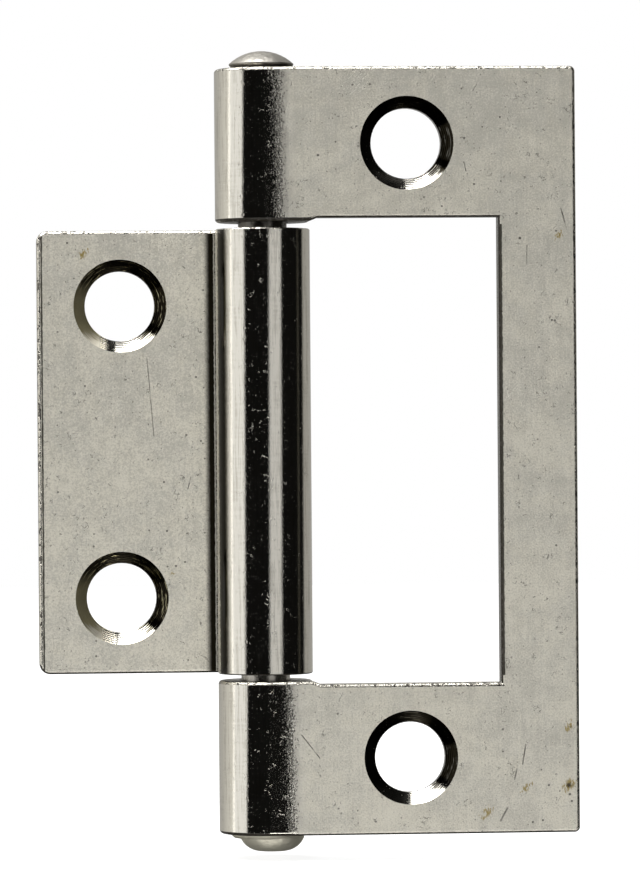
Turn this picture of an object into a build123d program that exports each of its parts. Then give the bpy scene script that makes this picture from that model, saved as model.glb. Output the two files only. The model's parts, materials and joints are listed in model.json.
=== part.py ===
"""Louvre door hinge, opened flat.

Two leaves pressed from steel sheet turn on one headed pin. The large leaf has a
window, and a knuckle rolled from the end of each arm. The small leaf has one long
centre knuckle and swings into the window, so that the closed hinge is one sheet thick.

Frame: +Z runs up along the pin, +X points from the pin to the large leaf's free
edge, and +Y points out of the backs of both leaves, into the wood. The origin is the
middle of the large leaf's two screw holes, on its back face.
"""
import math
import os

from build123d import *

os.makedirs("parts", exist_ok=True)

# Sheet and barrel
SHEET = 1.45  # thickness of both leaves
PIN_DIAMETER = 3.2
PIN_CLEARANCE = 0.05  # radial running gap between the pin and the rolled bores
SEAM_GAP = 0.2  # from the tip of a curl to the leaf that it was rolled from
KNUCKLE_GAP = 0.42  # between the ends of neighbouring knuckles

# Small leaf
SMALL_HEIGHT = 29.1
SMALL_REACH = 14.75  # pin axis to free edge
SMALL_CORNER = 0.7
SMALL_HOLE_REACH = 9.3  # pin axis to the screw holes
SMALL_HOLE_SPACING = 19.2

# Large leaf
LARGE_HEIGHT = 50.0
BAR_WIDTH = 5.1  # upright strip beyond the window
NEST_GAP = 0.45  # free edge of the closed small leaf to the window
ARM_RELIEF = 0.2  # the arms' window edges stand back from the knuckle ends
RELIEF_START = 2.9  # pin axis to the start of the ramp down to the window edge
RELIEF_LENGTH = 0.5
RELIEF_BLEND = 0.5
LARGE_CORNER = 0.35
WINDOW_CORNER = 0.45
LARGE_HOLE_REACH = 9.25
LARGE_HOLE_SPACING = 40.0

# Screw holes and sheet edges
HOLE_DIAMETER = 4.6
COUNTERSINK_DIAMETER = 6.12
COUNTERSINK_ANGLE = 90
EDGE_ROLL = 0.25  # rolled-over edge on the punch side of the sheet
EDGE_BREAK = 0.08  # broken edge on the other side

# Pin heads
TOP_HEAD_DIAMETER = 4.24
TOP_HEAD_HEIGHT = 1.2
TOP_HEAD_UNDERCUT = 0.28  # the rim stands clear of the knuckle end
TOP_HEAD_RIM = 0.08
PEEN_DIAMETER = 4.6
PEEN_LIP = 0.28  # thickness of the lip spread over the knuckle end
PEEN_LIP_BEVEL = 0.14
PEEN_HEIGHT = 1.16
PEEN_CROWN_DIAMETER = 4.2
PEEN_CROWN_ROUND = 1.4
PEEN_FLAT_DIAMETER = 2.0  # hammered flat on the crown
PEEN_OFFSET = 0.35  # the crown was struck off the pin axis

# Worked out from the sizes above
BORE_RADIUS = PIN_DIAMETER / 2 + PIN_CLEARANCE
BARREL_RADIUS = BORE_RADIUS + SHEET
CURL_ANGLE = 270 + math.degrees(math.asin((BORE_RADIUS - SEAM_GAP) / BARREL_RADIUS))
PIN_X = -LARGE_HOLE_REACH
PIN_Y = BORE_RADIUS
PIN_AXIS = Axis((PIN_X, PIN_Y, 0), (0, 0, 1))
WINDOW_REACH = SMALL_REACH + NEST_GAP
LARGE_REACH = WINDOW_REACH + BAR_WIDTH
KNUCKLE_START = SMALL_HEIGHT / 2 + KNUCKLE_GAP
KNUCKLE_LENGTH = LARGE_HEIGHT / 2 - KNUCKLE_START
WINDOW_HALF = KNUCKLE_START + ARM_RELIEF
RELIEF_END = RELIEF_START + RELIEF_LENGTH
HEAD_SEAT = LARGE_HEIGHT / 2  # the heads bear on the outer ends of the end knuckles
RIM_TOP = HEAD_SEAT + TOP_HEAD_UNDERCUT + TOP_HEAD_RIM
DOME_RISE = TOP_HEAD_HEIGHT - TOP_HEAD_UNDERCUT - TOP_HEAD_RIM
DOME_RADIUS = ((TOP_HEAD_DIAMETER / 2) ** 2 + DOME_RISE**2) / (2 * DOME_RISE)
PEEN_X = PIN_X + PEEN_OFFSET
PEEN_AXIS = Axis((PEEN_X, PIN_Y, 0), (0, 0, 1))
TOLERANCE = 1e-4

# Front faces of the leaves, with local X away from the pin axis and local Y up
LARGE_FRONT = Plane((PIN_X, PIN_Y - BARREL_RADIUS, 0), x_dir=(1, 0, 0), z_dir=(0, -1, 0))
SMALL_FRONT = Plane((PIN_X, PIN_Y + BORE_RADIUS, 0), x_dir=(1, 0, 0), z_dir=(0, -1, 0))

# Half sections of the pin and of its peened crown, through their own axes
PIN_SECTION = Plane((PIN_X, PIN_Y, 0), x_dir=(1, 0, 0), z_dir=(0, -1, 0))
PEEN_SECTION = Plane((PEEN_X, PIN_Y, 0), x_dir=(1, 0, 0), z_dir=(0, -1, 0))


def roll_knuckle(bottom, length, root_angle):
    """Roll one knuckle about the pin axis, from its leaf at root_angle to the seam."""
    with BuildSketch(Plane.XY.offset(bottom)) as section:
        with BuildLine():
            outside = CenterArc((PIN_X, PIN_Y), BARREL_RADIUS, root_angle, -CURL_ANGLE)
            inside = CenterArc((PIN_X, PIN_Y), BORE_RADIUS, root_angle, -CURL_ANGLE)
            Line(outside @ 0, inside @ 0)
            Line(outside @ 1, inside @ 1)
        make_face()
    extrude(section.sketch, amount=length)


def off_axis(edge):
    """True for edges of a leaf's face other than its tangent line with the knuckle."""
    return abs(edge.center().X - PIN_X) > TOLERANCE


def sink_screw_holes(front, reach, spacing):
    """Countersink a leaf's two screw holes from its front face."""
    with Locations(front):
        with Locations((reach, 0)):
            with GridLocations(0, spacing, 1, 2):
                CounterSinkHole(
                    radius=HOLE_DIAMETER / 2,
                    counter_sink_radius=COUNTERSINK_DIAMETER / 2,
                    counter_sink_angle=COUNTERSINK_ANGLE,
                )


# Large leaf: the windowed sheet, its two knuckles rolled back from the front face
with BuildPart() as large_leaf:
    with BuildSketch(LARGE_FRONT):
        with Locations((LARGE_REACH / 2, 0)):
            Rectangle(LARGE_REACH, LARGE_HEIGHT)
        with BuildLine():
            upper_half = Polyline(
                (0, 0),
                (0, KNUCKLE_START),
                (RELIEF_START, KNUCKLE_START),
                (RELIEF_END, WINDOW_HALF),
                (WINDOW_REACH, WINDOW_HALF),
                (WINDOW_REACH, 0),
            )
            mirror(upper_half, about=Plane.XZ)
        make_face(mode=Mode.SUBTRACT)
        columns = vertices().group_by(Axis.X)
        fillet(columns[-1], LARGE_CORNER)
        fillet(columns[-2], WINDOW_CORNER)
        fillet(columns[1] + columns[2], RELIEF_BLEND)
    extrude(amount=-SHEET)
    for knuckle_bottom in (-LARGE_HEIGHT / 2, KNUCKLE_START):
        roll_knuckle(knuckle_bottom, KNUCKLE_LENGTH, -90)
    flats = faces().filter_by(Axis.Y).sort_by(Axis.Y)
    fillet(flats[0].edges().filter_by(off_axis), EDGE_ROLL)
    chamfer(flats[1].edges().filter_by(off_axis), EDGE_BREAK)
    sink_screw_holes(LARGE_FRONT, LARGE_HOLE_REACH, LARGE_HOLE_SPACING)
large_leaf.part.label = "large_leaf"
export_step(large_leaf.part, "parts/large_leaf.step")

# Small leaf: the insert sheet, its long centre knuckle rolled forward from the back face
with BuildPart() as small_leaf:
    with BuildSketch(SMALL_FRONT):
        with Locations((-SMALL_REACH / 2, 0)):
            Rectangle(SMALL_REACH, SMALL_HEIGHT)
        fillet(vertices().group_by(Axis.X)[0], SMALL_CORNER)
    extrude(amount=-SHEET)
    roll_knuckle(-SMALL_HEIGHT / 2, SMALL_HEIGHT, 90)
    flats = faces().filter_by(Axis.Y).sort_by(Axis.Y)
    fillet(flats[0].edges().filter_by(off_axis), EDGE_ROLL)
    chamfer(flats[1].edges().filter_by(off_axis), EDGE_BREAK)
    sink_screw_holes(SMALL_FRONT, -SMALL_HOLE_REACH, SMALL_HOLE_SPACING)
small_leaf.part.label = "small_leaf"
export_step(small_leaf.part, "parts/small_leaf.step")

# Hinge pin: a plain shaft with a domed top head and a peened lower head
with BuildPart() as hinge_pin:
    with BuildSketch(PIN_SECTION):
        with BuildLine():
            Polyline(
                (0, HEAD_SEAT + TOP_HEAD_HEIGHT),
                (0, -HEAD_SEAT - PEEN_LIP),
                (PEEN_DIAMETER / 2 - PEEN_LIP_BEVEL, -HEAD_SEAT - PEEN_LIP),
                (PEEN_DIAMETER / 2, -HEAD_SEAT - PEEN_LIP + PEEN_LIP_BEVEL),
                (PEEN_DIAMETER / 2, -HEAD_SEAT),
                (PIN_DIAMETER / 2, -HEAD_SEAT),
                (PIN_DIAMETER / 2, HEAD_SEAT),
                (TOP_HEAD_DIAMETER / 2 - TOP_HEAD_UNDERCUT, HEAD_SEAT),
                (TOP_HEAD_DIAMETER / 2, HEAD_SEAT + TOP_HEAD_UNDERCUT),
                (TOP_HEAD_DIAMETER / 2, RIM_TOP),
            )
            RadiusArc(
                (TOP_HEAD_DIAMETER / 2, RIM_TOP),
                (0, HEAD_SEAT + TOP_HEAD_HEIGHT),
                -DOME_RADIUS,
            )
        make_face()
    revolve(axis=PIN_AXIS)
    with BuildSketch(PEEN_SECTION):
        with BuildLine():
            Polyline(
                (PEEN_CROWN_DIAMETER / 2, -HEAD_SEAT - PEEN_LIP),
                (PEEN_CROWN_DIAMETER / 2, -HEAD_SEAT),
                (0, -HEAD_SEAT),
                (0, -HEAD_SEAT - PEEN_HEIGHT),
                (PEEN_FLAT_DIAMETER / 2, -HEAD_SEAT - PEEN_HEIGHT),
            )
            RadiusArc(
                (PEEN_FLAT_DIAMETER / 2, -HEAD_SEAT - PEEN_HEIGHT),
                (PEEN_CROWN_DIAMETER / 2, -HEAD_SEAT - PEEN_LIP),
                -PEEN_CROWN_ROUND,
            )
        make_face()
    revolve(axis=PEEN_AXIS)
hinge_pin.part.label = "hinge_pin"
export_step(hinge_pin.part, "parts/hinge_pin.step")
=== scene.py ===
"""Louvre door hinge, opened flat: the finish of its leaves and its pin, and a plain studio."""

import json
import math

import bmesh
import bpy
from mathutils import Matrix, Vector


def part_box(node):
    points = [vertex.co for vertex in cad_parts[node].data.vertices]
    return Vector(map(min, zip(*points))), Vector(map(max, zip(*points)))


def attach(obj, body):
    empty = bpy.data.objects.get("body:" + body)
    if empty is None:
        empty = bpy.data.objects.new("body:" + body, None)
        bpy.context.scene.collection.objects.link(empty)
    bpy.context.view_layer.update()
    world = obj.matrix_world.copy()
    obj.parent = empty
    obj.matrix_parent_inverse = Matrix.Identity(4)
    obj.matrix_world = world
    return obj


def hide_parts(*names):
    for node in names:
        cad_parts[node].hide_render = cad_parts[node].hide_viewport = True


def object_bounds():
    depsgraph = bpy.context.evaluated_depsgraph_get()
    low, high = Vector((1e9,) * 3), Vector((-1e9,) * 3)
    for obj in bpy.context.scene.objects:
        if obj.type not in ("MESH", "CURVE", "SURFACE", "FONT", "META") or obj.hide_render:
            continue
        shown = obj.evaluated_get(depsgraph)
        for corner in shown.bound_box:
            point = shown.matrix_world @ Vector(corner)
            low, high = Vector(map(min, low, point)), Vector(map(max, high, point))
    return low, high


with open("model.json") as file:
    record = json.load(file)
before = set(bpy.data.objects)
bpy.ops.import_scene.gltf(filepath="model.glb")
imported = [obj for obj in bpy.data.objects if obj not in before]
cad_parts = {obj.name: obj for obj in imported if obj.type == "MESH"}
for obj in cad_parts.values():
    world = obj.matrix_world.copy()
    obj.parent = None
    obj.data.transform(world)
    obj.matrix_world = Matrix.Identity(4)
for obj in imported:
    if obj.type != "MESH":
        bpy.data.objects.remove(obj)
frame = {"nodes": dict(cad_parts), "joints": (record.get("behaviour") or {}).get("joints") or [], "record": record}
cad_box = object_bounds()


# Large leaf: a C-shaped blank pressed from steel sheet about 1.5 mm thick, its two arm ends
# rolled into knuckles. The flats keep a satin nickel finish, and the rolling tool has
# polished the knuckles and a narrow zone beside them.
MM = 0.001
MERGE_DISTANCE = 0.002 * MM
CREASE = math.radians(28)
PIN_X_MM = frame["joints"][0]["pos_m"][0] / MM
KNUCKLE_END_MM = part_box("large_leaf")[1].z / MM
ROLLED_END_MM = KNUCKLE_END_MM - 0.18  # the knuckles' outer ends are painted dark as shade beyond this height
BARREL_RADIUS_MM = 3.1
HALF_SHEET_MM = 0.72
SINK_RADIUS_MM = 3.06
mounts = {mount["name"]: mount for mount in frame["record"]["mounts"]}

NICKEL = (0.69, 0.663, 0.583)
NICKEL_DULL = (0.46, 0.44, 0.385)
NICKEL_WARM = (0.605, 0.578, 0.48)
NICKEL_BRIGHT = (0.64, 0.615, 0.55)
NICKEL_COOL = (0.58, 0.57, 0.505)
STAIN_YELLOW = (0.3, 0.225, 0.06)
PIT_AND_SHADE_DARK = (0.05, 0.045, 0.04)
# Near black, used as painted shade on edges, countersinks, knuckle ends, the pin and the leaves
SHADE_BLACK = (0.012, 0.01, 0.006)


def dressed_copy(node_name):
    """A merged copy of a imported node, shaded smooth except across its real corners."""
    mesh = frame["nodes"][node_name].data.copy()
    shape = bmesh.new()
    shape.from_mesh(mesh)
    bmesh.ops.remove_doubles(shape, verts=shape.verts, dist=MERGE_DISTANCE)
    for face in shape.faces:
        face.smooth = True
    for edge in shape.edges:
        edge.smooth = edge.calc_face_angle(0) < CREASE
    shape.to_mesh(mesh)
    shape.free()
    if "custom_normal" in mesh.attributes:
        mesh.attributes.remove(mesh.attributes["custom_normal"])
    mesh.materials.clear()
    piece = bpy.data.objects.new(node_name + "_finish", mesh)
    bpy.context.scene.collection.objects.link(piece)
    normals = piece.modifiers.new("flat_faces_stay_flat", "WEIGHTED_NORMAL")
    normals.mode = "FACE_AREA"
    normals.keep_sharp = True
    return piece


def new_material(name, metallic=1.0):
    """A new material, its node tree and its shader."""
    material = bpy.data.materials.new(name)
    material.use_nodes = True
    shader = material.node_tree.nodes["Principled BSDF"]
    shader.inputs["Metallic"].default_value = metallic
    return material, material.node_tree, shader


def new_node(tree, kind, **settings):
    """Add one shader node and set its properties."""
    node = tree.nodes.new(kind)
    for key, value in settings.items():
        setattr(node, key, value)
    return node


def feed(tree, socket, source):
    """Link a socket to another one, or set it to a constant."""
    if isinstance(source, bpy.types.NodeSocket):
        tree.links.new(source, socket)
    else:
        socket.default_value = source


def math_node(tree, operation, first, second=0.0, clamp=False):
    """One value worked out from two others."""
    node = new_node(tree, "ShaderNodeMath", operation=operation, use_clamp=clamp)
    feed(tree, node.inputs[0], first)
    feed(tree, node.inputs[1], second)
    return node.outputs[0]


def plus(tree, first, second):
    return math_node(tree, "ADD", first, second)


def minus(tree, first, second, clamp=False):
    return math_node(tree, "SUBTRACT", first, second, clamp)


def times(tree, first, second, clamp=False):
    return math_node(tree, "MULTIPLY", first, second, clamp)


def ramp(tree, value, low, high, to_low=0.0, to_high=1.0):
    """A smooth step of value from low to high."""
    node = new_node(tree, "ShaderNodeMapRange", interpolation_type="SMOOTHSTEP")
    feed(tree, node.inputs["Value"], value)
    feed(tree, node.inputs["From Min"], low)
    feed(tree, node.inputs["From Max"], high)
    feed(tree, node.inputs["To Min"], to_low)
    feed(tree, node.inputs["To Max"], to_high)
    return node.outputs["Result"]


# A Mix node keeps one pair of sockets for values and another for colours
VALUE_PAIR = (2, 3)
COLOUR_PAIR = (6, 7)
VALUE_RESULT = 0
COLOUR_RESULT = 2


def mix_values(tree, factor, first, second):
    node = new_node(tree, "ShaderNodeMix", data_type="FLOAT")
    feed(tree, node.inputs[0], factor)
    for place, value in zip(VALUE_PAIR, (first, second)):
        feed(tree, node.inputs[place], value)
    return node.outputs[VALUE_RESULT]


def mix_colours(tree, factor, first, second):
    node = new_node(tree, "ShaderNodeMix", data_type="RGBA")
    feed(tree, node.inputs[0], factor)
    for place, colour in zip(COLOUR_PAIR, (first, second)):
        linked = isinstance(colour, bpy.types.NodeSocket)
        feed(tree, node.inputs[place], colour if linked else (*colour, 1.0))
    return node.outputs[COLOUR_RESULT]


def strongest(tree, masks):
    """Join masks so that the strongest one shows."""
    joined = masks[0]
    for mask in masks[1:]:
        joined = math_node(tree, "MAXIMUM", joined, mask)
    return joined


def axes_of(tree, vector):
    """The X, Y and Z values of a vector."""
    node = new_node(tree, "ShaderNodeSeparateXYZ")
    feed(tree, node.inputs[0], vector)
    return node.outputs


def vector_of(tree, x=0.0, y=0.0, z=0.0):
    """A vector from its three values."""
    node = new_node(tree, "ShaderNodeCombineXYZ")
    for socket, value in zip(node.inputs, (x, y, z)):
        feed(tree, socket, value)
    return node.outputs[0]


def vector_math(tree, operation, first, second):
    """A vector worked out from two others."""
    node = new_node(tree, "ShaderNodeVectorMath", operation=operation)
    feed(tree, node.inputs[0], first)
    feed(tree, node.inputs[1], second)
    return node.outputs["Vector"]


def vector_measure(tree, operation, first, second):
    """A single value, such as a distance, worked out from two vectors."""
    node = new_node(tree, "ShaderNodeVectorMath", operation=operation)
    feed(tree, node.inputs[0], first)
    feed(tree, node.inputs[1], second)
    return node.outputs["Value"]


def scaled(tree, vector, factor):
    """A vector made longer or shorter, the same along every axis."""
    node = new_node(tree, "ShaderNodeVectorMath", operation="SCALE")
    feed(tree, node.inputs[0], vector)
    feed(tree, node.inputs["Scale"], factor)
    return node.outputs["Vector"]


def noise(tree, coordinates, scale=1.0, detail=2.0, roughness=0.5):
    """A noise pattern, with scale as its number of cells per millimetre."""
    node = new_node(tree, "ShaderNodeTexNoise")
    feed(tree, node.inputs["Vector"], coordinates)
    node.inputs["Scale"].default_value = scale
    node.inputs["Detail"].default_value = detail
    node.inputs["Roughness"].default_value = roughness
    return node.outputs["Fac"]


NOISE_MIDDLE = 0.5


def about_middle(tree, pattern):
    """A noise pattern shifted so that it runs about zero."""
    return minus(tree, pattern, NOISE_MIDDLE)


def near_middle(tree, pattern, edge):
    """A thin line along the contour where a noise pattern crosses its middle value."""
    return ramp(tree, math_node(tree, "ABSOLUTE", about_middle(tree, pattern)), *edge)


def millimetres(tree):
    """Object coordinates in millimetres."""
    place = new_node(tree, "ShaderNodeTexCoord").outputs["Object"]
    return vector_math(tree, "MULTIPLY", place, (1 / MM, 1 / MM, 1 / MM))


def add_relief(tree, shader, height):
    """Raise a surface by a height in millimetres."""
    bump = new_node(tree, "ShaderNodeBump")
    bump.inputs["Distance"].default_value = MM
    feed(tree, bump.inputs["Height"], height)
    feed(tree, shader.inputs["Normal"], bump.outputs["Normal"])


VECTOR, FLOAT = "NodeSocketVector", "NodeSocketFloat"


def new_group(name, inputs, outputs):
    """Start a shader node group with named sockets. Gives its tree, inputs and outputs."""
    tree = bpy.data.node_groups.new(name, "ShaderNodeTree")
    for label, kind, value in inputs:
        socket = tree.interface.new_socket(label, in_out="INPUT", socket_type=kind)
        if value is not None:
            socket.default_value = value
    for label in outputs:
        tree.interface.new_socket(label, in_out="OUTPUT", socket_type=FLOAT)
    return tree, tree.nodes.new("NodeGroupInput").outputs, tree.nodes.new("NodeGroupOutput").inputs


def use_group(tree, group, **values):
    """Place a group in a material. Underscores in the keys stand for spaces in socket names."""
    node = new_node(tree, "ShaderNodeGroup", node_tree=group)
    for key, value in values.items():
        feed(tree, node.inputs[key.replace("_", " ")], value)
    return node.outputs


UP_LINES = (7.0, 1.0, 0.35)
CROSS_LINES = (0.3, 1.0, 7.0)
CROSS_SHARE = 0.22


def make_satin_grain():
    """A blasted sheet with faint roller lines both ways, and slow cloudy shading."""
    tree, given, result = new_group(
        "satin_grain", [("Place", VECTOR, None)], ["Grain", "Lines", "Mottle", "Cloud"]
    )
    place = given["Place"]
    up_place = vector_math(tree, "MULTIPLY", place, UP_LINES)
    cross_place = vector_math(tree, "MULTIPLY", place, CROSS_LINES)
    up_lines = noise(tree, up_place, detail=3.0, roughness=0.6)
    cross_lines = noise(tree, cross_place, detail=3.0, roughness=0.6)
    feed(tree, result["Grain"], noise(tree, place, scale=9.0, detail=3.0, roughness=0.65))
    feed(tree, result["Lines"], mix_values(tree, CROSS_SHARE, up_lines, cross_lines))
    feed(tree, result["Mottle"], noise(tree, place, scale=1.2, detail=3.0, roughness=0.6))
    feed(tree, result["Cloud"], noise(tree, place, scale=0.36, detail=3.0, roughness=0.55))
    return tree


PIT_EDGE = (1.15, 0.55)
SMALLEST_PIT = 0.35  # share of the given radius


def make_plating_pits():
    """Sparse round specks where dirt sat in the plating. Each cell holds one or none."""
    tree, given, result = new_group(
        "plating_pits",
        [("Place", VECTOR, None), ("Spacing", FLOAT, 1.0), ("Share", FLOAT, 0.2), ("Radius", FLOAT, 0.08)],
        ["Pits"],
    )
    across_face, _, up_face = axes_of(tree, given["Place"])
    per_millimetre = math_node(tree, "DIVIDE", 1.0, given["Spacing"])
    on_face = scaled(tree, vector_of(tree, across_face, up_face), per_millimetre)
    cells = new_node(tree, "ShaderNodeTexVoronoi", feature="F1", voronoi_dimensions="2D")
    feed(tree, cells.inputs["Vector"], on_face)
    cells.inputs["Scale"].default_value = 1.0
    chance = new_node(tree, "ShaderNodeSeparateColor")
    feed(tree, chance.inputs[0], cells.outputs["Color"])
    kept = math_node(tree, "LESS_THAN", chance.outputs["Red"], given["Share"])
    full_radius = math_node(tree, "DIVIDE", given["Radius"], given["Spacing"])
    own_radius = times(tree, full_radius, plus(tree, chance.outputs["Green"], SMALLEST_PIT))
    inside = ramp(tree, math_node(tree, "DIVIDE", cells.outputs["Distance"], own_radius), *PIT_EDGE)
    feed(tree, result["Pits"], times(tree, inside, kept))
    return tree


HAIR_STRETCH = (5.0, 0.5, 0.1)
HAIR_EDGE = (0.012, 0.002)
HAIR_PATCH_NONE = 1.02
HAIR_PATCH_FULL = 0.75


def make_hairlines():
    """Long thin scratches from handling, kept in patches and turned one way."""
    tree, given, result = new_group(
        "hairlines",
        [("Place", VECTOR, None), ("Turn", FLOAT, 0.0), ("Share", FLOAT, 0.5)],
        ["Scratches"],
    )
    turned = new_node(tree, "ShaderNodeVectorRotate", rotation_type="Y_AXIS")
    feed(tree, turned.inputs["Vector"], given["Place"])
    feed(tree, turned.inputs["Angle"], given["Turn"])
    turned_place = turned.outputs["Vector"]
    streaks = noise(tree, vector_math(tree, "MULTIPLY", turned_place, HAIR_STRETCH), detail=1.0)
    patches = noise(tree, turned_place, scale=0.45, detail=1.0)
    patch_start = minus(tree, HAIR_PATCH_NONE, given["Share"])
    in_patch = ramp(tree, patches, patch_start, HAIR_PATCH_FULL)
    feed(tree, result["Scratches"], times(tree, near_middle(tree, streaks, HAIR_EDGE), in_patch))
    return tree


NICK_EDGE = (0.03, 0.01)
NICK_PATCH = (0.6, 0.67)


def make_nicks():
    """Short curved marks from handling, kept only in scattered patches."""
    tree, given, result = new_group("nicks", [("Place", VECTOR, None)], ["Nicks"])
    contour = noise(tree, given["Place"], scale=2.8)
    patches = noise(tree, given["Place"], scale=1.7, roughness=0.6)
    in_patch = ramp(tree, patches, *NICK_PATCH)
    feed(tree, result["Nicks"], times(tree, near_middle(tree, contour, NICK_EDGE), in_patch))
    return tree


def make_single_scratch():
    """One short straight line. The place is already flat, with no height above the face."""
    tree, given, result = new_group(
        "single_scratch",
        [
            ("Flat Place", VECTOR, None),
            ("Start", VECTOR, None),
            ("Run", VECTOR, None),
            ("Inverse Square", FLOAT, 1.0),
            ("Width", FLOAT, 0.06),
        ],
        ["Scratch"],
    )
    from_start = vector_math(tree, "SUBTRACT", given["Flat Place"], given["Start"])
    reach = vector_measure(tree, "DOT_PRODUCT", from_start, given["Run"])
    share = times(tree, reach, given["Inverse Square"], clamp=True)
    nearest = scaled(tree, given["Run"], share)
    away = vector_measure(tree, "DISTANCE", from_start, nearest)
    feed(tree, result["Scratch"], ramp(tree, away, given["Width"], 0.0))
    return tree


satin_grain = make_satin_grain()
plating_pits = make_plating_pits()
hairlines = make_hairlines()
nicks = make_nicks()
single_scratch = make_single_scratch()


def draw_scratches(tree, flat_place, scratches):
    """Join scratches given as (start x, start z, finish x, finish z, width) in millimetres."""
    masks = []
    for start_x, start_z, finish_x, finish_z, width in scratches:
        run = Vector((finish_x - start_x, 0.0, finish_z - start_z))
        scratch = use_group(
            tree,
            single_scratch,
            Flat_Place=flat_place,
            Start=(start_x, 0.0, start_z),
            Run=run,
            Inverse_Square=1 / run.length_squared,
            Width=width,
        )
        masks.append(scratch["Scratch"])
    return strongest(tree, masks)


SPOT_CORE = 0.3  # share of a spot's radius that is full


def draw_spots(tree, flat_place, spots):
    """Join round spots given as (x, z, radius) in millimetres."""
    masks = []
    for x, z, radius in spots:
        away = vector_measure(tree, "DISTANCE", flat_place, (x, 0.0, z))
        masks.append(ramp(tree, away, radius, radius * SPOT_CORE))
    return strongest(tree, masks)


def painted_shade_line(tree, from_pin, up_the_leaf, near, near_full, far_full, far, half_height, strength):
    """A dark line of painted shade up the leaf, faded by distance from the pin, over the height given each way."""
    inner = ramp(tree, from_pin, near, near_full)
    outer = ramp(tree, from_pin, far, far_full)
    along_leaf = math_node(tree, "LESS_THAN", up_the_leaf, half_height)
    return times(tree, times(tree, times(tree, inner, outer), along_leaf), strength)


# Patterns of the plating
DRAG_STRETCH = (7.0, 7.0, 2.6)
DASH_STRETCH = (1.3, 1.3, 0.9)
HAIR_TURNS = (0.25, 2.4)
HAIR_SHARE = 0.52
FADED_SCRATCH = (0.35, 0.6, 0.25, 1.0)
STAIN_RAGGED_MM = 1.6
SHADE_LINE_WAVE_MM = 0.12

# Colour of the plating, and how strongly each mark shows in it
TONE_WEIGHTS = {"Cloud": 0.6, "Lines": 0.5, "Grain": 1.5, "Mottle": 0.5}
# Painted shade: the plating darkens towards the top, by TONE_FALL per millimetre up the leaf
TONE_FALL = -0.003  # per millimetre up the leaf
TONE_RANGE = (1.25, 1.85)
TINT_RANGE = (0.42, 0.58)
TINT_STRENGTH = 0.2
ROLLED_STREAKS = (0.46, 0.66, 0.0, 0.7)
STAIN_STRENGTH = 0.9
PIT_STRENGTH = 0.7
SPECK_STRENGTH = 0.07
DASH_STRENGTH = 0.45
NICK_STRENGTH = 0.6
SCRATCH_STRENGTH = 0.85
DOT_STRENGTH = 0.9

# Roughness of the satin and of the rolled metal
SATIN_ROUGHNESS = 0.55
LINE_ROUGHNESS = 0.12
WORN_ROUGHNESS = (0.64, 0.88, 0.07, 0.4)
SPECK_ROUGHNESS = 0.2
NICK_ROUGHNESS = 0.05

# Relief, in millimetres
GRAIN_HEIGHT = 0.02
LINE_HEIGHT = 0.008
DASH_HEIGHT = 0.006
PEEL_HEIGHT = 0.0035
SCRATCH_DEPTH = 0.02
HAIR_SHARE_OF_DEPTH = 0.3
SATIN_MARK_DEPTH = 0.02
ROLLED_MARK_DEPTH = 0.007


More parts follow.
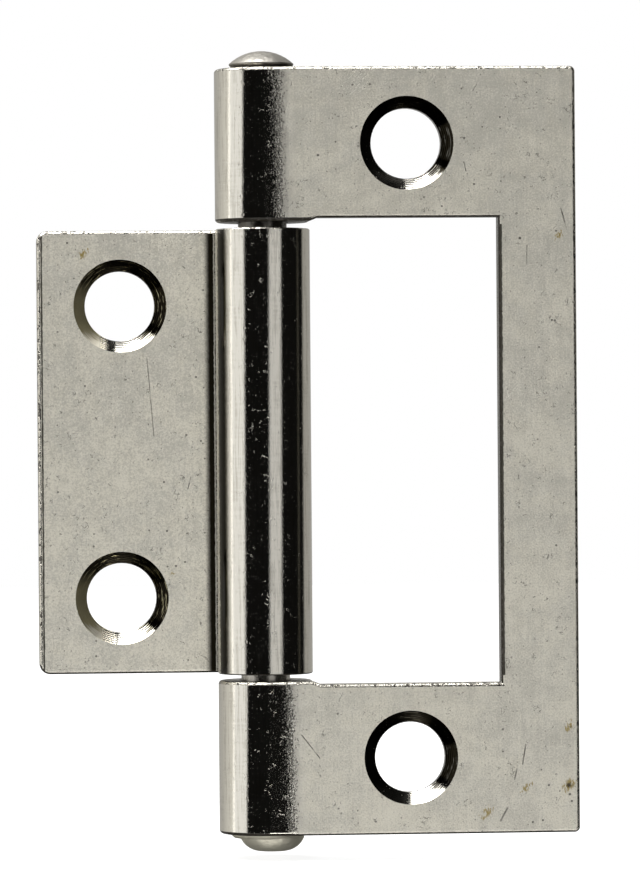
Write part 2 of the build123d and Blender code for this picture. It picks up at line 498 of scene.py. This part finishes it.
def plated_leaf(
    name, side, mid_sheet, front_polish, back_polish, smear_width, lean, shade_lines, scratches, dots, stains
):
    """Satin nickel flats that turn to bright rolled metal near the pin.

    Side is the leaf's way along X. Each polish is the distance from the pin where the satin
    starts and where it is full. The marks stay on the front, before the middle of the sheet.
    """
    material, tree, shader = new_material(name)
    place = millimetres(tree)
    along_x, along_y, along_z = axes_of(tree, place)
    flat_place = vector_math(tree, "MULTIPLY", place, (1.0, 0.0, 1.0))
    from_pin = times(tree, minus(tree, along_x, PIN_X_MM), side)
    up_the_leaf = math_node(tree, "ABSOLUTE", along_z)
    on_front = math_node(tree, "LESS_THAN", along_y, mid_sheet)

    # Where the satin gives way to rolled metal
    grain = use_group(tree, satin_grain, Place=place)
    drag_place = vector_math(tree, "MULTIPLY", place, DRAG_STRETCH)
    drag = about_middle(tree, noise(tree, drag_place, detail=3.0, roughness=0.65))
    smear = times(tree, plus(tree, drag, about_middle(tree, grain["Grain"])), smear_width)
    smeared = plus(tree, from_pin, plus(tree, smear, times(tree, along_z, lean)))
    front_satin = ramp(tree, smeared, *front_polish)
    back_satin = ramp(tree, smeared, *back_polish)
    satin = mix_values(tree, on_front, back_satin, front_satin)

    # Marks from the plating and from handling
    pits = use_group(tree, plating_pits, Place=place, Spacing=1.2, Share=0.14, Radius=0.07)["Pits"]
    specks = use_group(tree, plating_pits, Place=place, Spacing=0.15, Share=0.22, Radius=0.029)["Pits"]
    dash_place = vector_math(tree, "MULTIPLY", place, DASH_STRETCH)
    dashes = use_group(tree, plating_pits, Place=dash_place, Spacing=0.3, Share=0.1, Radius=0.045)["Pits"]
    peel = noise(tree, place, scale=14.0, roughness=0.7)
    hair_ways = []
    for turn in HAIR_TURNS:
        hair_ways.append(use_group(tree, hairlines, Place=place, Turn=turn, Share=HAIR_SHARE)["Scratches"])
    hair = strongest(tree, hair_ways)
    nicked = use_group(tree, nicks, Place=place)["Nicks"]
    scratched = times(tree, draw_scratches(tree, flat_place, scratches), on_front)
    scratched = times(tree, scratched, ramp(tree, grain["Mottle"], *FADED_SCRATCH))
    dotted = times(tree, draw_spots(tree, flat_place, dots), on_front)
    ragged = times(tree, drag, STAIN_RAGGED_MM)
    ragged_place = vector_math(tree, "ADD", flat_place, vector_of(tree, x=ragged, z=ragged))
    stained = times(tree, draw_spots(tree, ragged_place, stains), on_front)
    dark = strongest(
        tree,
        [
            times(tree, pits, PIT_STRENGTH),
            times(tree, specks, SPECK_STRENGTH),
            times(tree, dashes, DASH_STRENGTH),
            times(tree, nicked, NICK_STRENGTH),
            times(tree, scratched, SCRATCH_STRENGTH),
            times(tree, dotted, DOT_STRENGTH),
        ],
    )
    # Painted shade: dark lines up the leaf, beside the knuckle and along the edges of the sheet
    wavy = plus(tree, from_pin, times(tree, drag, SHADE_LINE_WAVE_MM))
    shade_line_mask = strongest(tree, [painted_shade_line(tree, wavy, up_the_leaf, *line) for line in shade_lines])
    # Painted shade: the outer ends of the polished knuckles, under the pin's heads, are painted dark
    rolled_end = math_node(tree, "GREATER_THAN", up_the_leaf, ROLLED_END_MM)
    shaded_knuckle_end = minus(tree, rolled_end, satin, clamp=True)
    painted_shade_mask = strongest(tree, [times(tree, shade_line_mask, on_front), shaded_knuckle_end])

    tone = times(tree, along_z, TONE_FALL)
    for pattern, weight in TONE_WEIGHTS.items():
        tone = plus(tree, tone, times(tree, grain[pattern], weight))
    colour = mix_colours(tree, ramp(tree, tone, *TONE_RANGE), NICKEL_DULL, NICKEL)
    tint = mix_colours(tree, ramp(tree, grain["Cloud"], *TINT_RANGE), NICKEL_COOL, NICKEL_WARM)
    colour = mix_colours(tree, TINT_STRENGTH, colour, tint)
    rolled = mix_colours(tree, ramp(tree, grain["Lines"], *ROLLED_STREAKS), NICKEL_BRIGHT, NICKEL_DULL)
    colour = mix_colours(tree, satin, rolled, colour)
    colour = mix_colours(tree, times(tree, stained, STAIN_STRENGTH), colour, STAIN_YELLOW)
    colour = mix_colours(tree, times(tree, dark, satin), colour, PIT_AND_SHADE_DARK)
    feed(tree, shader.inputs["Base Color"], mix_colours(tree, painted_shade_mask, colour, SHADE_BLACK))

    satin_roughness = plus(tree, times(tree, grain["Lines"], LINE_ROUGHNESS), SATIN_ROUGHNESS)
    marked = plus(tree, times(tree, specks, SPECK_ROUGHNESS), times(tree, nicked, NICK_ROUGHNESS))
    rolled_roughness = plus(tree, ramp(tree, peel, *WORN_ROUGHNESS), marked)
    feed(tree, shader.inputs["Roughness"], mix_values(tree, satin, rolled_roughness, satin_roughness))

    line_height = times(tree, grain["Lines"], LINE_HEIGHT)
    satin_height = plus(tree, times(tree, grain["Grain"], GRAIN_HEIGHT), line_height)
    rolled_height = plus(tree, times(tree, dashes, DASH_HEIGHT), times(tree, peel, PEEL_HEIGHT))
    height = mix_values(tree, satin, rolled_height, satin_height)
    faint_hair = times(tree, hair, times(tree, satin, HAIR_SHARE_OF_DEPTH))
    height = minus(tree, height, times(tree, strongest(tree, [faint_hair, scratched]), SCRATCH_DEPTH))
    mark_depth = mix_values(tree, satin, ROLLED_MARK_DEPTH, SATIN_MARK_DEPTH)
    add_relief(tree, shader, minus(tree, height, times(tree, dark, mark_depth)))
    return material


def hole_places(mount):
    """Centres of a leaf's two screw holes as (x, z), in millimetres."""
    half = mount["dims"]["spacing_y_mm"] / 2
    x, _, z = (value / MM for value in mount["pos_m"])
    return [(x, z + half), (x, z - half)]


# Walls of a countersink, in millimetres from the middle of its hole
# The lower wall carries a painted highlight with feathered edges
LIT_LOWER_WALL = (-2.4, -3.1)
SHADED_RIGHT = (-0.9, 1.5)
SHADED_TOP = (0.4, 1.9)
LEFT_WALL = (-0.4, -2.2)
STREAK_FEATHER = 1.6
STREAKS_ACROSS = 13.0
STREAKS_AROUND = 2.6
SHADE_PATCH_EDGE = (0.64, 0.55)

# Fine rings that the tool leaves
RING_RATE = 55.0  # radians per millimetre of radius
RING_WOBBLE = 3.0
RING_HEIGHT = 0.0016
SINK_SPECK_HEIGHT = 0.002
SINK_SPECK_ROUGHNESS = 0.2
SINK_ROUGHNESS = 0.12


def turned_countersink(name, holes, shade, glint, left_roughness):
    """Cut metal with fine rings, painted near black in patches where it lies in shade, with a painted highlight on
    the lower wall.
    """
    material, tree, shader = new_material(name)
    place = millimetres(tree)
    along_x, _, along_z = axes_of(tree, place)
    flat_place = vector_math(tree, "MULTIPLY", place, (1.0, 0.0, 1.0))
    grain = use_group(tree, satin_grain, Place=place)
    specks = use_group(tree, plating_pits, Place=place, Spacing=0.2, Share=0.12, Radius=0.035)["Pits"]

    distances = [vector_measure(tree, "DISTANCE", flat_place, (x, 0.0, z)) for x, z in holes]
    radius = math_node(tree, "MINIMUM", *distances)
    wobble = times(tree, grain["Cloud"], RING_WOBBLE)
    rings = math_node(tree, "SINE", plus(tree, times(tree, radius, RING_RATE), wobble))
    hole_x, hole_height = holes[0]
    across_hole = minus(tree, along_x, hole_x)
    nearest_hole = times(tree, math_node(tree, "SIGN", along_z), hole_height)
    up_hole = minus(tree, along_z, nearest_hole)
    around_hole = math_node(tree, "ARCTAN2", up_hole, across_hole)
    on_wall = vector_of(
        tree, times(tree, radius, STREAKS_ACROSS), times(tree, around_hole, STREAKS_AROUND), nearest_hole
    )
    wall_streaks = noise(tree, on_wall, detail=3.0, roughness=0.6)
    feathered = minus(tree, up_hole, times(tree, wall_streaks, STREAK_FEATHER))
    painted_highlight_wall = ramp(tree, feathered, *LIT_LOWER_WALL)
    right_wall = ramp(tree, across_hole, *SHADED_RIGHT)
    top_wall = ramp(tree, up_hole, *SHADED_TOP)
    shaded_wall = strongest(tree, [right_wall, top_wall])
    # Painted shade: the right and top walls are painted near black in patches
    painted_shade_wall = minus(tree, shaded_wall, painted_highlight_wall, clamp=True)
    shade_patches = ramp(tree, wall_streaks, *SHADE_PATCH_EDGE)

    colour = mix_colours(tree, grain["Grain"], shade, glint)
    # Painted highlight: the lower wall is painted bright nickel
    colour = mix_colours(tree, painted_highlight_wall, colour, NICKEL_BRIGHT)
    colour = mix_colours(tree, times(tree, painted_shade_wall, shade_patches), colour, SHADE_BLACK)
    feed(tree, shader.inputs["Base Color"], colour)
    satin_wall = ramp(tree, across_hole, *LEFT_WALL, SINK_ROUGHNESS, left_roughness)
    speckled = plus(tree, times(tree, specks, SINK_SPECK_ROUGHNESS), satin_wall)
    feed(tree, shader.inputs["Roughness"], speckled)
    height = plus(tree, times(tree, rings, RING_HEIGHT), times(tree, specks, SINK_SPECK_HEIGHT))
    add_relief(tree, shader, height)
    return material


TEAR_EDGE = (0.55, 0.62)
TEAR_STRENGTH = 0.85
TEAR_DEPTH = 0.02
EDGE_GRAIN_HEIGHT = 0.03
EDGE_ROUGHNESS = 0.06
EDGE_GRAIN_ROUGHNESS = 0.3
EDGE_SPECULAR = 0.1


def sheared_edge(name, shade, glint, metallic):
    """Sheared sheet edges with the small tears of the press tool; rubbed bright, or given dark colours as painted
    shade.
    """
    material, tree, shader = new_material(name, metallic)
    place = millimetres(tree)
    grain = use_group(tree, satin_grain, Place=place)["Grain"]
    tears = ramp(tree, noise(tree, place, scale=3.2, roughness=0.6), *TEAR_EDGE)
    colour = mix_colours(tree, grain, shade, glint)
    colour = mix_colours(tree, times(tree, tears, TEAR_STRENGTH), colour, PIT_AND_SHADE_DARK)
    feed(tree, shader.inputs["Base Color"], colour)
    shader.inputs["Specular IOR Level"].default_value = EDGE_SPECULAR
    roughness = plus(tree, times(tree, grain, EDGE_GRAIN_ROUGHNESS), EDGE_ROUGHNESS)
    feed(tree, shader.inputs["Roughness"], roughness)
    height = minus(tree, times(tree, grain, EDGE_GRAIN_HEIGHT), times(tree, tears, TEAR_DEPTH))
    add_relief(tree, shader, height)
    return material


EDGE_TILT = 0.1
SHADE_TILT = 0.55
FLAT_NORMAL = 0.99
COUNTERSINK, RUBBED, SHADED_EDGE, WINDOW_WALL = 1, 2, 3, 4


def sort_faces(piece, holes):
    """Pick out the countersinks, the rubbed edges, and the edges in shade, which get painted shade.

    Edges are in shade where they face down or face the barrel, and their colour there is painted
    shade. It stays off the start of their rounding, except beside the pin.
    """
    for face in piece.data.polygons:
        x, _, z = (value / MM for value in face.center)
        from_pin = x - PIN_X_MM
        beside_pin = abs(from_pin) < BARREL_RADIUS_MM
        in_hole = any(math.hypot(x - hole_x, z - hole_z) < SINK_RADIUS_MM for hole_x, hole_z in holes)
        faces_down = face.normal.z < -EDGE_TILT
        on_side = abs(face.normal.x) > EDGE_TILT and abs(from_pin) > BARREL_RADIUS_MM
        to_barrel = on_side and face.normal.x * from_pin < 0
        shade_tilt = EDGE_TILT if beside_pin else SHADE_TILT
        if in_hole and abs(face.normal.y) < FLAT_NORMAL:
            face.material_index = COUNTERSINK
        # Painted shade: window walls that face the barrel get a nearly black finish
        elif to_barrel and abs(face.normal.y) < EDGE_TILT:
            face.material_index = WINDOW_WALL
        # Painted shade: edges that face down or face the barrel are painted near black
        elif faces_down or to_barrel:
            if math.hypot(face.normal.x, face.normal.z) > shade_tilt:
                face.material_index = SHADED_EDGE
        elif on_side or face.normal.z > EDGE_TILT:
            face.material_index = RUBBED


# Distances from the pin where satin starts and is full, where a sheet runs tangent into its
# knuckle and where it meets the foot of one
TANGENT_POLISH = (0.68, 2.33)
ROOT_POLISH = (2.95, 3.15)

LARGE_SCRATCHES = [
    (10.07, 15.72, 10.45, 14.35, 0.07),
    (4.36, 23.36, 4.62, 23.81, 0.05),
    (3.73, 18.74, 3.86, 18.15, 0.05),
    (7.82, 13.31, 7.81, 12.08, 0.04),
    (5.83, -24.2, 6.3, -23.36, 0.1),
    (6.77, -21.48, 6.91, -20.83, 0.08),
    (7.51, -19.21, 7.3, -20.51, 0.06),
    (-7.13, -18.44, -5.97, -19.95, 0.05),
]
LARGE_DOTS = [
    (7.36, 13.77, 0.13),
    (9.42, 8.42, 0.1),
    (6.11, 21.66, 0.09),
    (3.75, 20.3, 0.1),
    (4.38, 17.3, 0.1),
    (2.27, 15.88, 0.09),
    (10.31, -21.92, 0.22),
    (10.37, -22.51, 0.12),
    (10.5, -22.96, 0.1),
    (9.0, -21.9, 0.1),
    (8.59, -24.18, 0.09),
    (7.93, -24.3, 0.09),
    (-5.8, 19.22, 0.12),
]
LARGE_STAINS = [
    (9.9, 13.9, 0.3),
    (10.34, -18.07, 0.35),
    (10.31, -21.92, 0.45),
    (7.49, -22.08, 0.3),
    (4.9, -23.6, 0.4),
]
# Painted shade: a dark line up the leaf
LARGE_SHADE_LINES = [
    (15.2, 15.23, 15.4, 15.46, 14.7, 0.9),
]
# Painted shade: the cut metal of the large countersinks and of the window walls is painted nearly black
LARGE_SINK_SHADE = (0.07, 0.067, 0.056)
LARGE_SINK_GLINT = (0.15, 0.144, 0.124)
WALL_GLINT = (0.13, 0.125, 0.105)
SHADED_EDGE_GREY = (0.035, 0.032, 0.026)

large_screws = mounts["large_leaf_screws"]
large_holes = hole_places(large_screws)
large_plating = plated_leaf(
    "satin_nickel_large",
    side=1.0,
    mid_sheet=large_screws["pos_m"][1] / MM - HALF_SHEET_MM,
    front_polish=TANGENT_POLISH,
    back_polish=ROOT_POLISH,
    smear_width=1.4,
    lean=0.013,
    shade_lines=LARGE_SHADE_LINES,
    scratches=LARGE_SCRATCHES,
    dots=LARGE_DOTS,
    stains=LARGE_STAINS,
)
large_sinks = turned_countersink(
    "large_countersinks", large_holes, LARGE_SINK_SHADE, LARGE_SINK_GLINT, left_roughness=0.14
)
rubbed = sheared_edge("rubbed_edges", NICKEL_DULL, NICKEL, metallic=1.0)
# Painted shade for the edges that lie in shade
shaded_edge_finish = sheared_edge("painted_shade_edges", SHADE_BLACK, SHADED_EDGE_GREY, metallic=0.0)
window_wall = sheared_edge("window_wall", LARGE_SINK_SHADE, WALL_GLINT, metallic=1.0)

large_leaf = dressed_copy("large_leaf")
for finish in (large_plating, large_sinks, rubbed, shaded_edge_finish, window_wall):
    large_leaf.data.materials.append(finish)
sort_faces(large_leaf, large_holes)
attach(large_leaf, "fixed_leaf")
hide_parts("large_leaf")


# Small leaf: the insert that folds into the window, pressed from the same sheet. One long centre
# knuckle is rolled from its edge, and the sheet beside the knuckle is burnished by the rolling tool.
SMALL_SCRATCHES = [
    (-16.8, 6.18, -16.38, 1.05, 0.035),
    (-14.4, 12.2, -14.25, 12.05, 0.05),
    (-13.96, -1.66, -14.17, -2.45, 0.05),
]
SMALL_DOTS = [
    (-21.99, 13.76, 0.1),
    (-20.89, 4.37, 0.09),
    (-13.58, 4.91, 0.1),
    (-13.29, 0.7, 0.09),
    (-15.74, -1.98, 0.1),
    (-15.57, -5.2, 0.1),
    (-15.0, -7.51, 0.1),
    (-14.4, -7.25, 0.09),
]
SMALL_STAINS = [
    (-15.2, -7.97, 0.2),
    (-21.0, 13.0, 0.35),
]
# Painted shade: dark lines beside the knuckle and near the outer edge
SMALL_SHADE_LINES = [
    (2.35, 2.7, 2.98, 3.02, 15.0, 1.0),
    (3.12, 3.18, 3.4, 3.85, 15.0, 1.0),
    (14.36, 14.42, 14.48, 14.52, 14.3, 0.9),
]
SMALL_SINK_SHADE = (0.28, 0.255, 0.16)
SMALL_SINK_GLINT = (0.4, 0.365, 0.235)

small_screws = mounts["small_leaf_screws"]
small_holes = hole_places(small_screws)
small_plating = plated_leaf(
    "satin_nickel_small",
    side=-1.0,
    mid_sheet=small_screws["pos_m"][1] / MM - HALF_SHEET_MM,
    front_polish=ROOT_POLISH,
    back_polish=TANGENT_POLISH,
    smear_width=0.2,
    lean=0.0,
    shade_lines=SMALL_SHADE_LINES,
    scratches=SMALL_SCRATCHES,
    dots=SMALL_DOTS,
    stains=SMALL_STAINS,
)
small_sinks = turned_countersink(
    "small_countersinks", small_holes, SMALL_SINK_SHADE, SMALL_SINK_GLINT, left_roughness=0.42
)

small_leaf = dressed_copy("small_leaf")
for finish in (small_plating, small_sinks, rubbed, shaded_edge_finish):
    small_leaf.data.materials.append(finish)
sort_faces(small_leaf, small_holes)
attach(small_leaf, "swing_leaf")
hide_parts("small_leaf")


# Hinge pin: drawn steel wire with a formed dome at the top. The lower end was hammered over the
# knuckle after assembly, which left an off-centre crown on a thin spread lip.
PIN_NICKEL = (0.46, 0.44, 0.395)
SEAT_SHADE_MM = (KNUCKLE_END_MM + 0.52, KNUCKLE_END_MM + 0.3)
SEAT_SHADE_WAVE_MM = 0.25
SEAT_SHADE_STRENGTH = 0.9
SHAFT_SHADE_STRENGTH = 0.75
DOME_TARNISH = 0.3
SHAFT_ROUGHNESS = 0.15
DOME_ROUGHNESS = 0.27
PIN_GRAIN_ROUGHNESS = 0.3
HAMMERED_ROUGHNESS = 0.62
DENT_HEIGHT = 0.09
PIN_PIT_DEPTH = 0.01


def bright_pin(name):
    """Drawn nickel with small dents, painted shade under the dome and on the upper shaft, and dull where hammered.
    """
    material, tree, shader = new_material(name)
    place = millimetres(tree)
    up_the_pin = axes_of(tree, place)["Z"]
    grain = use_group(tree, satin_grain, Place=place)["Grain"]
    pits = use_group(tree, plating_pits, Place=place, Spacing=0.5, Share=0.3, Radius=0.08)["Pits"]
    dents = noise(tree, place, scale=1.4)
    on_dome = math_node(tree, "GREATER_THAN", up_the_pin, KNUCKLE_END_MM)
    upper_shaft = minus(tree, math_node(tree, "GREATER_THAN", up_the_pin, 0.0), on_dome)
    hammered = math_node(tree, "LESS_THAN", up_the_pin, -KNUCKLE_END_MM)
    seat_shade_height = plus(tree, up_the_pin, times(tree, dents, SEAT_SHADE_WAVE_MM))
    in_seat = times(tree, ramp(tree, seat_shade_height, *SEAT_SHADE_MM), on_dome)

    colour = mix_colours(tree, pits, PIN_NICKEL, NICKEL_DULL)
    # Painted shade: the upper shaft, seen in the gap between the knuckles, is darkened
    colour = mix_colours(tree, times(tree, upper_shaft, SHAFT_SHADE_STRENGTH), colour, SHADE_BLACK)
    colour = mix_colours(tree, times(tree, on_dome, DOME_TARNISH), colour, PIT_AND_SHADE_DARK)
    colour = mix_colours(tree, hammered, colour, NICKEL_WARM)
    # Painted shade: a dark band under the rim of the dome
    colour = mix_colours(tree, times(tree, in_seat, SEAT_SHADE_STRENGTH), colour, PIT_AND_SHADE_DARK)
    feed(tree, shader.inputs["Base Color"], colour)
    plain_roughness = mix_values(tree, on_dome, SHAFT_ROUGHNESS, DOME_ROUGHNESS)
    drawn_roughness = plus(tree, times(tree, grain, PIN_GRAIN_ROUGHNESS), plain_roughness)
    feed(tree, shader.inputs["Roughness"], mix_values(tree, hammered, drawn_roughness, HAMMERED_ROUGHNESS))
    height = minus(tree, times(tree, dents, DENT_HEIGHT), times(tree, pits, PIN_PIT_DEPTH))
    add_relief(tree, shader, height)
    return material


hinge_pin = dressed_copy("hinge_pin")
hinge_pin.data.materials.append(bright_pin("bright_pin"))
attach(hinge_pin, "fixed_leaf")
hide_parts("hinge_pin")


# Floor: a pale board under the hinge, lifted to white for the camera. It keeps the hinge's shadow,
# is hidden from the mirroring metal, and casts no shadow itself.
FLOOR_HALF = 0.3
FLOOR_BACK = 0.26
FLOOR_DROP = 0.0005
FLOOR_GREY = 0.3
FLOOR_LIFT = 0.85
FLOOR_ROUGHNESS = 0.9
WHITE = (1.0, 1.0, 1.0)

lowest = cad_box[0][2]
floor_shape = bmesh.new()
bmesh.ops.create_grid(floor_shape, x_segments=1, y_segments=1, size=FLOOR_HALF)
bmesh.ops.translate(floor_shape, verts=floor_shape.verts, vec=(0, FLOOR_BACK, lowest - FLOOR_DROP))
floor_mesh = bpy.data.meshes.new("floor")
floor_shape.to_mesh(floor_mesh)
floor_shape.free()
floor = bpy.data.objects.new("floor", floor_mesh)
bpy.context.scene.collection.objects.link(floor)
pale, pale_tree, pale_shader = new_material("pale_floor", metallic=0.0)
pale_shader.inputs["Base Color"].default_value = (FLOOR_GREY, FLOOR_GREY, FLOOR_GREY, 1.0)
pale_shader.inputs["Roughness"].default_value = FLOOR_ROUGHNESS
pale_shader.inputs["Emission Color"].default_value = (*WHITE, 1.0)
to_camera = new_node(pale_tree, "ShaderNodeLightPath").outputs["Is Camera Ray"]
feed(pale_tree, pale_shader.inputs["Emission Strength"], times(pale_tree, to_camera, FLOOR_LIFT))
floor_mesh.materials.append(pale)
floor.visible_glossy = False
floor.visible_shadow = False


# Studio: a white backdrop, which the polished metal mirrors as a pale cream, a dark room behind the
# camera, and six soft lamps: a panel at the left, a reflector at the right, and one lamp each in
# front, low down, overhead and at the top left.
BACKDROP_CREAM = (1.0, 0.985, 0.94)
BACKDROP_GREY = 0.48
BACKDROP_FALL = 0.045  # loss towards the right
BACKDROP_RISE = 0.38  # gain towards the left panel
RISE_POWER = 4.0
BACKDROP_SLANT = 0.17
BACKDROP_EDGE = (0.08, 0.2)
BACKDROP_FOOT = (-0.5, -0.15)
ROOM_GREY = 0.006

world = bpy.data.worlds.new("studio")
bpy.context.scene.world = world
world.use_nodes = True
sky = world.node_tree
sky.nodes.clear()
direction = new_node(sky, "ShaderNodeTexCoord").outputs["Generated"]
to_right, to_back, to_top = axes_of(sky, direction)
to_left = math_node(sky, "MAXIMUM", times(sky, to_right, -1.0), 0.0)
beside_panel = math_node(sky, "POWER", to_left, RISE_POWER)
backdrop = minus(sky, BACKDROP_GREY, times(sky, to_right, BACKDROP_FALL))
backdrop = plus(sky, backdrop, times(sky, beside_panel, BACKDROP_RISE))
depth = minus(sky, to_back, times(sky, to_right, BACKDROP_SLANT))
lit = times(sky, ramp(sky, depth, *BACKDROP_EDGE), ramp(sky, to_top, *BACKDROP_FOOT))
mirrored = mix_values(sky, lit, ROOM_GREY, backdrop)
rays = new_node(sky, "ShaderNodeLightPath").outputs
seen = math_node(sky, "MAXIMUM", rays["Is Camera Ray"], rays["Is Transmission Ray"])
studio_light = new_node(sky, "ShaderNodeBackground")
feed(sky, studio_light.inputs["Color"], mix_colours(sky, seen, BACKDROP_CREAM, WHITE))
feed(sky, studio_light.inputs["Strength"], mix_values(sky, seen, mirrored, 1.0))
sky_out = new_node(sky, "ShaderNodeOutputWorld")
feed(sky, sky_out.inputs["Surface"], studio_light.outputs[0])

CAMERA_YAW = math.radians(4.5)
CAMERA_PITCH = math.radians(0.25)
CAMERA_ROLL = math.radians(-0.44)
CAMERA_DISTANCE = 0.3253
CAMERA_TARGET = Vector((-0.005698, 0.0, 0.000189))
CAMERA_LENS = 200.3
SENSOR_HEIGHT = 36.0


def softbox(name, azimuth, elevation, distance, width, height, radiance):
    """A rectangular lamp that faces the hinge. Azimuth 0 is the camera's side, positive to the right."""
    lamp = bpy.data.lights.new(name, "AREA")
    lamp.shape = "RECTANGLE"
    lamp.size = width
    lamp.size_y = height
    lamp.energy = radiance * math.pi * width * height
    angle = math.radians(azimuth) - CAMERA_YAW
    rise = math.radians(elevation)
    away_from_hinge = Vector(
        (math.sin(angle) * math.cos(rise), -math.cos(angle) * math.cos(rise), math.sin(rise))
    )
    box = bpy.data.objects.new(name, lamp)
    box.location = away_from_hinge * distance
    box.rotation_euler = away_from_hinge.to_track_quat("Z", "Y").to_euler()
    box.visible_camera = False
    bpy.context.scene.collection.objects.link(box)


softbox("left_panel", azimuth=-68, elevation=3, distance=0.7, width=0.51, height=0.7, radiance=1.14)
softbox("right_reflector", azimuth=28.3, elevation=3, distance=0.7, width=0.37, height=0.7, radiance=0.77)
softbox("front_fill", azimuth=-12, elevation=45, distance=0.6, width=0.7, height=0.34, radiance=0.6)
softbox("low_fill", azimuth=-8, elevation=-42, distance=0.6, width=0.6, height=0.34, radiance=4.3)
softbox("overhead_panel", azimuth=-35, elevation=68, distance=0.6, width=0.34, height=0.28, radiance=10.0)
softbox("top_panel", azimuth=-90, elevation=70, distance=0.5, width=0.3, height=0.5, radiance=7.0)

camera_data = bpy.data.cameras.new("photo_view")
camera_data.sensor_fit = "VERTICAL"
camera_data.sensor_height = SENSOR_HEIGHT
camera_data.lens = CAMERA_LENS
camera = bpy.data.objects.new("photo_view", camera_data)
bpy.context.scene.collection.objects.link(camera)
view_line = Vector(
    (
        math.sin(CAMERA_YAW) * math.cos(CAMERA_PITCH),
        math.cos(CAMERA_YAW) * math.cos(CAMERA_PITCH),
        -math.sin(CAMERA_PITCH),
    )
)
level_right = view_line.cross(Vector((0, 0, 1))).normalized()
roll = Matrix.Rotation(CAMERA_ROLL, 3, -view_line)
right = roll @ level_right
up = right.cross(view_line)
turn = Matrix((right, up, -view_line)).transposed().to_4x4()
camera.matrix_world = Matrix.Translation(CAMERA_TARGET - view_line * CAMERA_DISTANCE) @ turn
bpy.context.scene.camera = camera
bpy.context.scene.view_settings.view_transform = "Standard"
